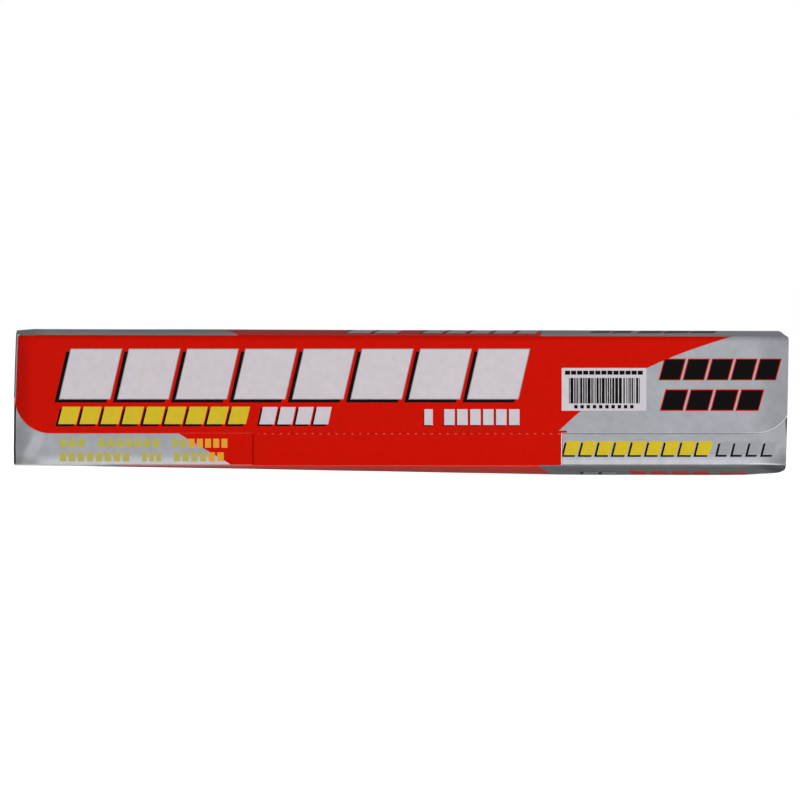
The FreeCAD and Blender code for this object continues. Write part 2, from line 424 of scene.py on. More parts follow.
def block_mask(tree, across, up, row, step=(0.0, 0.0), grow=0.0):
    """1 inside the blocks of a row and 0 elsewhere: the place across, slid by the slant, is cut into
    equal cells, each filled but for its gap, and kept between the row's ends and its two heights."""
    pitch = (row.end - row.start) / row.count
    slide = -math.tan(math.radians(row.slant))
    middle = (row.low + row.high) / 2 + step[1]
    height = add_node(tree, "ShaderNodeMath", {"operation": "SUBTRACT"}, {0: up, 1: middle})
    slid = add_node(tree, "ShaderNodeMath", {"operation": "MULTIPLY_ADD"},
                    {0: height.outputs[0], 1: slide, 2: across})
    origin = row.start + step[0] - grow
    cells = add_node(tree, "ShaderNodeMath", {"operation": "MULTIPLY_ADD"},
                     {0: slid.outputs[0], 1: 1 / pitch, 2: -origin / pitch})
    part = add_node(tree, "ShaderNodeMath", {"operation": "FRACT"}, {0: cells.outputs[0]})
    filled = add_node(tree, "ShaderNodeMath", {"operation": "LESS_THAN"},
                      {0: part.outputs[0], 1: (pitch - row.gap + 2 * grow) / pitch})
    within = add_node(tree, "ShaderNodeMath", {"operation": "COMPARE"},
                      {0: cells.outputs[0], 1: row.count / 2, 2: row.count / 2})
    level = add_node(tree, "ShaderNodeMath", {"operation": "COMPARE"},
                     {0: height.outputs[0], 1: 0.0, 2: (row.high - row.low) / 2 + grow})
    both = add_node(tree, "ShaderNodeMath", {"operation": "MULTIPLY"},
                    {0: filled.outputs[0], 1: within.outputs[0]})
    mask = add_node(tree, "ShaderNodeMath", {"operation": "MULTIPLY"},
                    {0: both.outputs[0], 1: level.outputs[0]})
    return mask.outputs[0]


def box_mask(tree, across, up, left, right, low, high):
    """1 inside a rectangle and 0 elsewhere."""
    wide = add_node(tree, "ShaderNodeMath", {"operation": "COMPARE"},
                    {0: across, 1: (left + right) / 2, 2: (right - left) / 2})
    tall = add_node(tree, "ShaderNodeMath", {"operation": "COMPARE"},
                    {0: up, 1: (low + high) / 2, 2: (high - low) / 2})
    mask = add_node(tree, "ShaderNodeMath", {"operation": "MULTIPLY"},
                    {0: wide.outputs[0], 1: tall.outputs[0]})
    return mask.outputs[0]


def field_mask(tree, across, up, field):
    """1 inside a red field: right of a straight left edge and left of a right edge that is a line
    plus a cube of the height over the field's level."""
    height = add_node(tree, "ShaderNodeMath", {"operation": "SUBTRACT"}, {0: up, 1: field.level})
    left = add_node(tree, "ShaderNodeMath", {"operation": "MULTIPLY_ADD"},
                    {0: height.outputs[0], 1: field.left_slope, 2: field.left})
    line = add_node(tree, "ShaderNodeMath", {"operation": "MULTIPLY_ADD"},
                    {0: height.outputs[0], 1: field.right_slope, 2: field.right})
    cube = add_node(tree, "ShaderNodeMath", {"operation": "POWER"}, {0: height.outputs[0], 1: 3.0})
    right = add_node(tree, "ShaderNodeMath", {"operation": "MULTIPLY_ADD"},
                     {0: cube.outputs[0], 1: field.right_cube, 2: line.outputs[0]})
    past = add_node(tree, "ShaderNodeMath", {"operation": "GREATER_THAN"}, {0: across, 1: left.outputs[0]})
    before = add_node(tree, "ShaderNodeMath", {"operation": "LESS_THAN"}, {0: across, 1: right.outputs[0]})
    mask = add_node(tree, "ShaderNodeMath", {"operation": "MULTIPLY"},
                    {0: past.outputs[0], 1: before.outputs[0]})
    return mask.outputs[0]


def bars_mask(tree, across, up, label):
    """1 inside the label's upright bars: the number of each strip is turned into chance noise."""
    strip = add_node(tree, "ShaderNodeMath", {"operation": "MULTIPLY_ADD"},
                     {0: across, 1: 1 / label.bar, 2: -label.bars_left / label.bar})
    whole = add_node(tree, "ShaderNodeMath", {"operation": "FLOOR"}, {0: strip.outputs[0]})
    number = add_node(tree, "ShaderNodeMath", {"operation": "ADD"}, {0: whole.outputs[0], 1: label.first})
    chance = add_node(tree, "ShaderNodeTexWhiteNoise", {"noise_dimensions": "1D"}, {"W": number.outputs[0]})
    dark = add_node(tree, "ShaderNodeMath", {"operation": "GREATER_THAN"},
                    {0: chance.outputs["Value"], 1: label.chance})
    bars_right = label.bars_left + label.count * label.bar
    inside = box_mask(tree, across, up, label.bars_left, bars_right, label.bars_low, label.bars_high)
    mask = add_node(tree, "ShaderNodeMath", {"operation": "MULTIPLY"}, {0: dark.outputs[0], 1: inside})
    return mask.outputs[0]


def crack_mask(tree, in_mm, up, crack):
    """1 in specks along a fold line, where the film has cracked off the board: a narrow band of the
    height, kept where a fine noise is high."""
    level, width = crack
    band = add_node(tree, "ShaderNodeMath", {"operation": "COMPARE"}, {0: up, 1: level, 2: width / 2})
    fine = add_node(tree, "ShaderNodeTexNoise", None, {"Vector": in_mm, "Scale": 1.3, "Detail": 2.0})
    speck = add_node(tree, "ShaderNodeMapRange", None, {0: fine.outputs["Fac"], 1: 0.4, 2: 0.65, 3: 0.15, 4: 0.7})
    mask = add_node(tree, "ShaderNodeMath", {"operation": "MULTIPLY"},
                    {0: band.outputs[0], 1: speck.outputs[0]})
    return mask.outputs[0]


def spot_mask(tree, across, up, spot):
    """A painted light or shade spot's share: from its strength at the middle to 0 where the sum of the
    squares of the two distances, over the half sizes, comes to 1."""
    height = add_node(tree, "ShaderNodeMath", {"operation": "SUBTRACT"}, {0: up, 1: spot.up})
    aside = add_node(tree, "ShaderNodeMath", {"operation": "MULTIPLY_ADD"},
                     {0: height.outputs[0], 1: -spot.lean, 2: across})
    wide = add_node(tree, "ShaderNodeMath", {"operation": "SUBTRACT"}, {0: aside.outputs[0], 1: spot.across})
    place = add_node(tree, "ShaderNodeCombineXYZ", None, {0: wide.outputs[0], 1: height.outputs[0]})
    scaled = add_node(tree, "ShaderNodeVectorMath", {"operation": "MULTIPLY"},
                      {0: place.outputs[0], 1: (1 / spot.half_width, 1 / spot.half_height, 0.0)})
    far = add_node(tree, "ShaderNodeVectorMath", {"operation": "DOT_PRODUCT"},
                   {0: scaled.outputs[0], 1: scaled.outputs[0]})
    mask = add_node(tree, "ShaderNodeMapRange", {"interpolation_type": "SMOOTHSTEP"},
                    {0: far.outputs["Value"], 1: 0.0, 2: 1.0, 3: spot.strength, 4: 0.0})
    return mask.outputs[0]


def painted_sheen_gain(tree, across, up, sheen_band):
    """What the film's brightness is multiplied by for a painted sheen along the bottom fold: more below a
    height, and less than before at the two lower corners, as painted shade at their dents."""
    band = add_node(tree, "ShaderNodeMapRange", {"interpolation_type": "SMOOTHSTEP"},
                    {0: up, 1: sheen_band[0], 2: sheen_band[1], 3: 0.0, 4: PAINTED_SHEEN_GAIN - 1})
    off = add_node(tree, "ShaderNodeMath", {"operation": "ABSOLUTE"}, {0: across})
    inside = add_node(tree, "ShaderNodeMapRange", {"interpolation_type": "SMOOTHSTEP"},
                      {0: off.outputs[0], 1: sheen_band[2], 2: sheen_band[3], 3: 1.0, 4: -0.6})
    gain = add_node(tree, "ShaderNodeMath", {"operation": "MULTIPLY_ADD"},
                    {0: band.outputs[0], 1: inside.outputs[0], 2: 1.0})
    return gain.outputs[0]


def printed_layers(tree, across, up, rows, label):
    """The masks of everything printed over the fields, each with its ink, from the lowest layer up."""
    layers = []
    if label:
        box = box_mask(tree, across, up, label.left, label.right, label.low, label.high)
        layers.append((box, "white"))
        layers.append((bars_mask(tree, across, up, label), "black"))
    for row in rows:
        if row.shadow:
            layers.append((block_mask(tree, across, up, row, step=row.shadow, grow=row.rim), "black"))
    for row in rows:
        if row.rim:
            layers.append((block_mask(tree, across, up, row, grow=row.rim), row.rim_ink))
        layers.append((block_mask(tree, across, up, row), row.ink))
    return layers


def printed_board(name, axes, field, rows=(), label=None, sheen_band=None, cracks=(), spots=(), painted_dimming=1.0,
                  ground="red"):
    """Folding boxboard with a satin metal film under printed inks, laid out in millimetres on the
    panel by two of its Object coordinates. sheen_band is the height where a painted sheen starts to
    brighten the film and the one where it does so in full, and the same two places for where that
    turns into painted shade towards the sides. painted_dimming is the share of the film's brightness
    and metal that painted shade of the panel leaves, and ground is the field's ink."""
    material = bpy.data.materials.new(name)
    material.use_nodes = True
    tree = material.node_tree
    tree.nodes.clear()
    colours = bpy.context.scene.carton_colours
    place = add_node(tree, "ShaderNodeTexCoord")
    in_mm = add_node(tree, "ShaderNodeVectorMath", {"operation": "SCALE"},
                     {0: place.outputs["Object"], "Scale": 1 / MM})
    parts = add_node(tree, "ShaderNodeSeparateXYZ", None, {0: in_mm.outputs[0]})
    across = parts.outputs[axes[0]]
    up = parts.outputs[axes[1]]

    # Paper fibres under the film cloud its brightness in patches of about 6 mm.
    cloud = add_node(tree, "ShaderNodeTexNoise", None, {"Vector": in_mm.outputs[0], "Scale": 0.16, "Detail": 4.0})
    dim = add_node(tree, "ShaderNodeMapRange", None,
                   {0: cloud.outputs["Fac"], 1: 0.3, 2: 0.7, 3: 0.93 * painted_dimming, 4: 1.05 * painted_dimming})
    if sheen_band:
        dim = add_node(tree, "ShaderNodeMath", {"operation": "MULTIPLY"},
                       {0: dim.outputs[0], 1: painted_sheen_gain(tree, across, up, sheen_band)})
    silver = add_node(tree, "ShaderNodeVectorMath", {"operation": "SCALE"},
                      {0: linear_colour(colours.silver)[:3], "Scale": dim.outputs[0]})
    red = field_mask(tree, across, up, field)
    colour = add_node(tree, "ShaderNodeMix", {"data_type": "RGBA"},
                      {0: red, 6: silver.outputs[0], 7: linear_colour(getattr(colours, ground))}).outputs[2]
    covered = red
    for mask, ink in printed_layers(tree, across, up, rows, label):
        colour = add_node(tree, "ShaderNodeMix", {"data_type": "RGBA"},
                          {0: mask, 6: colour, 7: linear_colour(getattr(colours, ink))}).outputs[2]
        covered = add_node(tree, "ShaderNodeMath", {"operation": "MAXIMUM"}, {0: covered, 1: mask}).outputs[0]
    # Painted light and shade in soft spots, then specks where the film cracked along a fold.
    painted_spots_and_cracks = [(spot_mask(tree, across, up, spot), spot.ink) for spot in spots]
    painted_spots_and_cracks += [(crack_mask(tree, in_mm.outputs[0], up, crack), "bare") for crack in cracks]
    for mask, ink in painted_spots_and_cracks:
        colour = add_node(tree, "ShaderNodeMix", {"data_type": "RGBA"},
                          {0: mask, 6: colour, 7: linear_colour(getattr(colours, ink))}).outputs[2]
    # Solid ink lies unevenly on the board, by about 3 % in patches of a few millimetres.
    patch = add_node(tree, "ShaderNodeTexNoise", None, {"Vector": in_mm.outputs[0], "Scale": 0.35, "Detail": 3.0})
    even = add_node(tree, "ShaderNodeMapRange", None, {0: patch.outputs["Fac"], 1: 0.3, 2: 0.7, 3: 0.96, 4: 1.03})
    colour = add_node(tree, "ShaderNodeVectorMath", {"operation": "SCALE"},
                      {0: colour, "Scale": even.outputs[0]}).outputs[0]
    metal = add_node(tree, "ShaderNodeMapRange", None, {0: covered, 3: SILVER_METAL * painted_dimming, 4: 0.0})
    rough = add_node(tree, "ShaderNodeMapRange", None, {0: covered, 3: SILVER_ROUGHNESS, 4: INK_ROUGHNESS})
    finish_board(tree, in_mm.outputs[0], colour, metal.outputs[0], rough.outputs[0])
    return material


# Satin metal film scatters widely, and the inks on it are varnished.
SILVER_METAL, SILVER_ROUGHNESS, INK_ROUGHNESS = 0.25, 0.58, 0.6
INK_SPECULAR = 0.04
# How much brighter the painted sheen makes the lower front's film along the bottom fold.
PAINTED_SHEEN_GAIN = 1.5
# Painted shade: the share of the film's brightness and metal left on the top, the bottom and the ends.
TOP_PAINTED_DIMMING, BOTTOM_PAINTED_DIMMING, END_PAINTED_DIMMING = 0.67, 0.56, 0.75


def finish_board(tree, in_mm, colour, metal, rough):
    """The board's surface: fibre grain of about 0.5 mm as fine bump under the film and the varnish."""
    grain = add_node(tree, "ShaderNodeTexNoise", None, {"Vector": in_mm, "Scale": 1.9, "Detail": 3.0})
    bump = add_node(tree, "ShaderNodeBump", None,
                    {"Height": grain.outputs["Fac"], "Strength": 0.12, "Distance": 0.02 * MM})
    shader = add_node(tree, "ShaderNodeBsdfPrincipled", None, {
        "Base Color": colour, "Metallic": metal, "Roughness": rough, "Normal": bump.outputs[0],
        "Specular IOR Level": INK_SPECULAR})
    add_node(tree, "ShaderNodeOutputMaterial", None, {"Surface": shader.outputs[0]})


def plain_board(name, hex_colour, roughness):
    """Board in one colour, such as its bare grey-white pulp at a cut, mottled by its fibres."""
    material = bpy.data.materials.new(name)
    material.use_nodes = True
    tree = material.node_tree
    tree.nodes.clear()
    place = add_node(tree, "ShaderNodeTexCoord")
    in_mm = add_node(tree, "ShaderNodeVectorMath", {"operation": "SCALE"},
                     {0: place.outputs["Object"], "Scale": 1 / MM})
    cloud = add_node(tree, "ShaderNodeTexNoise", None, {"Vector": in_mm.outputs[0], "Scale": 0.8, "Detail": 4.0})
    dim = add_node(tree, "ShaderNodeMapRange", None, {0: cloud.outputs["Fac"], 1: 0.3, 2: 0.7, 3: 0.92, 4: 1.04})
    colour = add_node(tree, "ShaderNodeVectorMath", {"operation": "SCALE"},
                      {0: linear_colour(hex_colour)[:3], "Scale": dim.outputs[0]})
    finish_board(tree, in_mm.outputs[0], colour.outputs[0], 0.0, roughness)
    return material


# What is printed on each panel, and the painted light and shade on it. The print is all plain
# blocks, bars and fields.
FRONT_FIELD = RedField(level=18.8, left=-155.6, left_slope=0.035, right=64.1, right_slope=1.075, right_cube=5.55e-4)
FRONT_ROWS = (
    BlockRow("red", 60.0, 66.7, 16.0, 18.3, 1, 0.0, 0),
    # The grey block over the fold at the top-left corner is the silver end with painted shade.
    BlockRow("core", -158.0, -147.0, 56.75, 60.0, 1, 0.0, 0),
    BlockRow("white", -135.2, 52.5, 31.1, 51.0, 8, 3.2, 13, (-1.7, -1.2), 0.3, "grey"),
    BlockRow("yellow", -137.2, -60.4, 20.9, 27.9, 9, 1.3, 14, (-1.1, -0.9)),
    BlockRow("white", -56.4, -27.4, 20.8, 27.8, 4, 1.3, 12, (-0.9, -0.7)),
    BlockRow("white", 9.3, 13.6, 20.5, 26.9, 1, 0.9, 0, (-0.3, -0.4)),
    BlockRow("white", 17.3, 48.6, 20.5, 26.9, 6, 1.0, 0, (-0.3, -0.4)),
    BlockRow("black", 65.9, 97.6, 40.8, 42.4, 13, 0.35, 0),
    BlockRow("black", 69.6, 94.6, 27.2, 28.6, 10, 1.1, 0),
    BlockRow("black", 105.1, 153.2, 38.9, 46.9, 5, 1.6, 15, None, 0.4, "red"),
    BlockRow("black", 105.6, 146.2, 26.6, 34.5, 4, 1.6, 15, None, 0.4, "red"),
)
FRONT_LABEL = BarLabel(64.6, 98.7, 26.3, 43.5, 67.5, 29.2, 39.5, 0.3, 95, 395804, 0.32)
LOWER_FIELD = RedField(level=17.2, left=-89.8, left_slope=-1.68, right=64.9, right_slope=0, right_cube=0)
LOWER_ROWS = (
    BlockRow("pale", -137.6, -126.5, 11.4, 15.0, 3, 0.9, 0),
    BlockRow("pale", -122.0, -96.4, 11.4, 15.0, 7, 0.9, 0),
    BlockRow("pale", -92.2, -85.6, 11.4, 15.0, 2, 0.9, 0),
    BlockRow("amber", -85.6, -69.1, 11.4, 15.0, 5, 0.9, 0),
    BlockRow("pale", -137.6, -108.6, 5.9, 9.5, 8, 0.9, 0),
    BlockRow("pale", -104.4, -95.8, 5.9, 9.5, 3, 0.9, 0),
    BlockRow("pale", -91.6, -77.6, 5.9, 9.5, 4, 0.9, 0),
    BlockRow("amber", -77.6, -70.6, 5.9, 9.5, 2, 0.9, 0),
    BlockRow("yellow", 66.1, 126.0, 8.4, 14.1, 9, 1.2, 14, (-1.0, -0.7)),
    BlockRow("silver", 128.1, 152.3, 8.5, 13.9, 4, 1.4, 14, (-1.1, -0.8)),
)
# The painted sheen along the lower front's bottom fold: none above the first height, full below the second, and
# turning into painted shade at the lower corners between the two places across.
LOWER_PAINTED_SHEEN = (9.5, 5.5, 141.0, 152.0)
# Painted light and shade on the lower front: darker at the left end, a painted highlight along the left crease,
# painted shade at the right lower corner, a painted highlight along the bottom fold at the right, and a painted
# shadow down the right end under the lid's end flap.
LOWER_SPOTS = (
    PaintedLightSpot(-154.5, 13.0, 6.5, 14.0, 0.2, "black", 0.33),
    PaintedLightSpot(-148.0, 11.5, 3.6, 10.0, 0.5, "bare", 0.17),
    PaintedLightSpot(154.6, 8.4, 3.6, 4.0, -0.2, "black", 0.24),
    PaintedLightSpot(145.5, 4.6, 9.5, 0.8, 0.0, "bare", 0.7),
    PaintedLightSpot(155.2, 21.8, 0.68, 7.0, 0.0, "black", 0.97),
)
# Painted shade darkening the flap towards both ends, and a small painted highlight at its top-left corner.
FRONT_SPOTS = (
    PaintedLightSpot(-157.0, 36.0, 9.0, 60.0, 0.0, "black", 0.3),
    PaintedLightSpot(158.0, 36.0, 18.0, 60.0, 0.0, "black", 0.2),
    PaintedLightSpot(-154.2, 56.8, 0.7, 0.6, 0.0, "bare", 0.35),
)
TAB_FIELD = RedField(level=10, left=-80, left_slope=0, right=80, right_slope=0, right_cube=0)
TOP_FIELD = RedField(level=-26, left=-65, left_slope=-0.385, right=56, right_slope=0.08, right_cube=0)
TOP_ROWS = (
    BlockRow("white", -20, 2, -19, -3, 2, 2.2, 13, (-1.3, -0.9), 0.3, "grey"),
    BlockRow("white", 10.5, 58, -19, -3, 5, 2.2, 13, (-1.3, -0.9), 0.3, "grey"),
    BlockRow("black", 79, 96, -17, 3, 2, 1.0, 15, None, 0.3, "red"),
    BlockRow("black", 98, 130, -17, 3, 3, 1.0, 15, None, 0.3, "red"),
)
# Painted shade on the top: a dark band along its front half, and darker at the left end.
TOP_SPOTS = (
    PaintedLightSpot(-20.0, -12.0, 190.0, 13.0, 0.0, "black", 0.5),
    PaintedLightSpot(-158.0, -20.0, 18.0, 30.0, 0.0, "black", 0.36),
)
BOTTOM_FIELD = RedField(level=-26, left=-112, left_slope=0, right=55.3, right_slope=0.35, right_cube=0)
BOTTOM_ROWS = (
    BlockRow("white", 74, 89, -15, 1, 2, 1.6, 0, (-1.3, -1.0)),
    BlockRow("worn_and_floor_lit_red", 94, 128, -17, 2, 4, 1.6, 13),
    BlockRow("worn_and_floor_lit_red", 130.5, 141, -15, 2, 1, 0, 13),
)
# Painted light and shade on the bottom: a painted highlight along the left of its front fold, painted shade greying
# that fold towards the middle, and darker at the right end.
BOTTOM_SPOTS = (
    PaintedLightSpot(-139.0, -26.0, 28.0, 4.0, 0.0, "bare", 0.62),
    PaintedLightSpot(-92.0, -26.0, 40.0, 8.0, 0.0, "grey", 0.65),
    PaintedLightSpot(155.0, -25.0, 16.0, 8.0, 0.0, "black", 0.6),
)
BACK_FIELD = RedField(level=30, left=-104, left_slope=0.5, right=104, right_slope=0.5, right_cube=0)
BACK_ROWS = (
    BlockRow("white", -84, 84, 26, 42, 8, 3.2, -12, (1.4, -1.1), 0.3, "grey"),
    BlockRow("yellow", -84, 84, 14, 18, 28, 1.2, 0),
)
END_FIELD = RedField(level=20, left=50, left_slope=0, right=40, right_slope=0, right_cube=0)
# Dark lines along the lid end flap's lower and slanted free edges: its cut, and painted shadow of the edge.
END_CUT_SHADE_LINES = (
    BlockRow("core", -26.0, 4.0, 32.0, 32.3, 1, 0.0, 0),
    BlockRow("core", 14.7, 15.2, 32.0, 53.0, 1, 0.0, 46.3),
)


def wrap_materials():
    """Bare board first, then the five panels in the order in which the wrap runs."""
    colours = bpy.context.scene.carton_colours
    return [
        plain_board("bare_board", colours.bare, 0.8),
        # The lower front has a painted sheen along its bottom fold and painted light and shade in spots.
        printed_board("lower_front_print", ("X", "Z"), LOWER_FIELD, LOWER_ROWS,
                      sheen_band=LOWER_PAINTED_SHEEN, spots=LOWER_SPOTS),
        # The bottom's film is darkened by painted shade, and its ground is a paler red: painted floor light on the
        # downward-facing panel.
        printed_board("bottom_print", ("X", "Y"), BOTTOM_FIELD, BOTTOM_ROWS,
                      cracks=((25.6, 0.8),), spots=BOTTOM_SPOTS, painted_dimming=BOTTOM_PAINTED_DIMMING, ground="worn_and_floor_lit_red"),
        printed_board("back_print", ("X", "Z"), BACK_FIELD, BACK_ROWS, cracks=((4.6, 0.5), (55.4, 0.5))),
        # The top's film is darkened by painted shade.
        printed_board("top_print", ("X", "Y"), TOP_FIELD, TOP_ROWS,
                      cracks=((25.6, 0.8),), spots=TOP_SPOTS, painted_dimming=TOP_PAINTED_DIMMING),
        printed_board("front_flap_print", ("X", "Z"), FRONT_FIELD, FRONT_ROWS, FRONT_LABEL, spots=FRONT_SPOTS),
        # The turn into the left end: painted shade, dark on the flap and black on the front panel.
        plain_board("painted_shade_flap_end", colours.left_end_shade, 0.9),
        plain_board("painted_shade_body_end", colours.black, 0.9),
    ]


def wrap_section(x, sizes):
    """The whole wrap in section at each x: down the front panel, back along the bottom, up the back,
    forward over the top and down the front flap. Gives (y, z) points, the panel of each row and how
    far each row is from its folds."""
    low, high, edge = levels(sizes)
    front_low, back_low, back_top, front_top = section_corners(x, sizes)
    even = np.ones_like(x)
    trim = sizes.fold_radius / sizes.front_height
    soft = TOP_FOLD_REACH / sizes.front_height
    spread = 0.5 - 0.5 * np.cos(np.linspace(0, math.pi, PANEL_ROWS))
    full = trim + (1 - 2 * trim) * spread
    over = trim + (1 - soft - trim) * spread
    hidden_top = (edge + sizes.flap_corner + 4 * MM - low) / sizes.front_height
    down = np.linspace(1 - hidden_top, 1 - trim, FRONT_ROWS_COUNT)
    high_front = front_low + np.array([0.0, sizes.front_height])
    front = panel_points(high_front, front_low, FRONT, FRONT_SWELL * even, down)
    front[..., 0] += SOFT_FOLD_DEPTH * ramp(front[..., 1], low + SOFT_FOLD_HEIGHT, low) ** 2
    bottom = panel_points(front_low, back_low, BOTTOM, bottom_swell(x, sizes), full, floor_power(x, sizes))
    back = panel_points(back_low, back_top, BACK, BACK_SWELL * even, full)
    along = ramp(x, -sizes.carton_length / 2, sizes.carton_length / 2)
    roof_front = front_top.copy()
    roof_front[:, 1] += RISE_LEFT + (RISE_RIGHT - RISE_LEFT) * along
    top = panel_points(back_top, roof_front, TOP, top_swell(x, sizes), over, roof_power(x, sizes))
    corner_share = (sizes.flap_drop - sizes.flap_corner) / sizes.front_height
    angles = np.linspace(0, math.pi / 2, FLAP_CORNER_ROWS)
    lower = corner_share + np.sin(angles) * sizes.flap_corner / sizes.front_height
    flap_shares = np.concatenate([np.linspace(soft, corner_share, PANEL_ROWS), lower[1:]])
    low_flap = front_top - np.array([0.0, sizes.front_height])
    flap = panel_points(front_top, low_flap, FRONT, FRONT_SWELL * even, flap_shares)
    corner_low = front_low + np.array([SOFT_FOLD_DEPTH, 0.0])
    stretches = [
        front, fold_points(front[-1], corner_low, bottom[0]),
        bottom, fold_points(bottom[-1], back_low, back[0]),
        back, fold_points(back[-1], back_top, top[0]),
        top, fold_points(top[-1], roof_front, flap[0]),
        flap,
    ]
    fades = [4 * share * (1 - share) for share in (down, full, full, over, flap_shares)]
    panels = []
    fade = []
    for place, stretch in enumerate(stretches):
        if place % 2:
            half = 0 if place in (1, 7) else FOLD_ROWS // 2
            panels += [place // 2] * half + [place // 2 + 1] * (FOLD_ROWS - half)
            fade += [0.0] * FOLD_ROWS
        else:
            panels += [place // 2] * len(stretch)
            fade += list(np.clip(fades[place // 2], 0, 1))
    return np.concatenate(stretches), np.array(panels), np.array(fade)


def wrap_ends(section, panels, side, sizes):
    """Where each row of the wrap ends, and the radius that it turns into the end with."""
    y, z = section[:, -1 if side > 0 else 0].T
    _, high, edge = levels(sizes)
    above_hinge = ramp(z, high - LID_HINGE_DROP - sizes.board, high - LID_HINGE_DROP)
    lid = np.where(panels >= 3, 1.0, np.where(panels == 2, above_hinge, 0.0))
    places = end_place(y, z, side, 1 + lid, lid, sizes)
    cut = (panels == 4) & (z < edge + sizes.flap_corner)
    reach = flap_reach(z, side, sizes)
    free = np.where(cut, ramp(side * (places - reach), -0.01 * MM, 0.3 * MM), 0.0)
    wide = np.where(panels >= 3, 0.5, 1.0) * sizes.fold_radius
    radii = wide + (CUT_RADIUS - wide) * free
    return np.where(cut, reach, places), radii


def wrap_grid(sizes):
    """The wrap as a grid of points: its section carried along the carton, each row stretched between
    its own ends, with a quarter turn of a few columns at both ends."""
    half_length = sizes.carton_length / 2
    ends = np.linspace(half_length, half_length - END_STRETCH, END_COLUMNS)
    middle = np.linspace(END_STRETCH - half_length, half_length - END_STRETCH, MIDDLE_COLUMNS)
    x_nominal = np.concatenate([-ends, middle[1:-1], ends[::-1]])
    share = x_nominal / half_length
    section, panels, fade = wrap_section(x_nominal, sizes)
    left, left_radius = wrap_ends(section, panels, -1, sizes)
    right, right_radius = wrap_ends(section, panels, 1, sizes)
    start = left + left_radius
    end = right - right_radius
    x = (start + end)[:, None] / 2 + (end - start)[:, None] / 2 * share[None, :]
    points = np.concatenate([x[..., None], section], axis=2)
    normals = grid_normals(points)
    way = np.cumsum(np.linalg.norm(np.gradient(section[:, 0], axis=0), axis=1))
    lift = waves(x, way[:, None], sizes) * fade[:, None]
    lift += np.where(panels[:, None] == 0, dents(x, section[..., 1]), 0.0)
    points = points + normals * lift[..., None]
    turn = np.linspace(0, math.pi / 2, EDGE_COLUMNS + 1)[1:]
    blocks = [points]
    facings = [normals]
    for side, radius in ((-1, left_radius), (1, right_radius)):
        column = points[:, :1] if side < 0 else points[:, -1:]
        normal = normals[:, :1].copy() if side < 0 else normals[:, -1:].copy()
        normal[..., 0] = 0
        inset = radius[:, None, None] * (1 - np.cos(turn))[None, :, None]
        block = column - normal * inset
        block[..., 0] += radius[:, None] * np.sin(turn)[None, :] * side
        facing = normal * np.cos(turn)[None, :, None]
        facing[..., 0] = side * np.sin(turn)
        blocks = [block[:, ::-1]] + blocks if side < 0 else blocks + [block]
        facings = [facing[:, ::-1]] + facings if side < 0 else facings + [facing]
    points = np.concatenate(blocks, axis=1)
    points[..., 2] = np.maximum(points[..., 2], 0.0)
    return points, np.concatenate(facings, axis=1), panels


class CARTON_OT_wrap(bpy.types.Operator):
    """The folded board: front, bottom, back, lid top and front flap, as one sheet"""

    bl_idname = "carton.wrap"
    bl_label = "Folded carton and lid"

    def execute(self, context):
        sizes = context.scene.carton_sizes
        points, normals, panels = wrap_grid(sizes)
        kinds = np.repeat(panels[:-1, None] + 1, points.shape[1] - 1, axis=1)
        # The turn into the left end of the flap and the front panel is painted shade.
        kinds[panels[:-1] == 4, :EDGE_COLUMNS] = 6
        kinds[panels[:-1] == 0, :EDGE_COLUMNS] = 7
        shell_mesh("carton_wrap", points, normals, SHEET_SHARE * sizes.board, kinds, wrap_materials())
        return {"FINISHED"}


def front_surface(z, layers, sizes):
    """y of the front panel's face at height z, with layers of board on it."""
    low, _, _ = levels(sizes)
    share = (z - low) / sizes.front_height
    soft = SOFT_FOLD_DEPTH * ramp(z, low + SOFT_FOLD_HEIGHT, low) ** 2
    return -sizes.carton_depth / 2 - layers * sizes.board - FRONT_SWELL * 4 * share * (1 - share) + soft


class CARTON_OT_tab(bpy.types.Operator):
    """The tear-off tab, held to the front flap by the bridges between its slots"""

    bl_idname = "carton.tab"
    bl_label = "Tear-off tab"

    def execute(self, context):
        sizes = context.scene.carton_sizes
        low, _, edge = levels(sizes)
        left = sizes.tab_shift - sizes.tab_length / 2
        count = int(sizes.tab_length / sizes.slot_pitch)
        first = sizes.tab_shift - sizes.slot_pitch * (count - 1) / 2 - sizes.slot_length / 2
        starts = first + np.arange(count) * sizes.slot_pitch
        sliver = 0.02 * MM
        steps = [starts - sliver, starts, starts + sizes.slot_length, starts + sizes.slot_length + sliver]
        inner = np.stack(steps, axis=1).ravel()
        x = np.concatenate([[left], inner, [left + sizes.tab_length]])
        open_part = np.concatenate([[0], np.tile([0, 1, 1, 0], count), [0]])
        head = edge - sizes.slot_width * open_part
        foot = low + TAB_FOOT_GAP
        down = np.linspace(0, 1, 24)[:, None]
        z = head[None, :] + (foot - head[None, :]) * down
        y = front_surface(z, 1, sizes)
        points = np.stack([np.broadcast_to(x, z.shape), y, z], axis=2)
        first_bridge = (first + sizes.slot_length) / MM
        pitch = sizes.slot_pitch / MM
        top = edge / MM
        nicks = BlockRow(
            "worn_and_floor_lit_red", first_bridge, first_bridge + count * pitch, top - 0.5, top, count, pitch - 1.0, 0)
        film = printed_board("tab_print", ("X", "Z"), TAB_FIELD, (nicks,))
        kinds = np.ones((len(z) - 1, 1), dtype=int)
        materials = [bpy.data.materials["bare_board"], film]
        shell_mesh("tear_tab", points, grid_normals(points), SHEET_SHARE * sizes.board, kinds, materials)
        return {"FINISHED"}


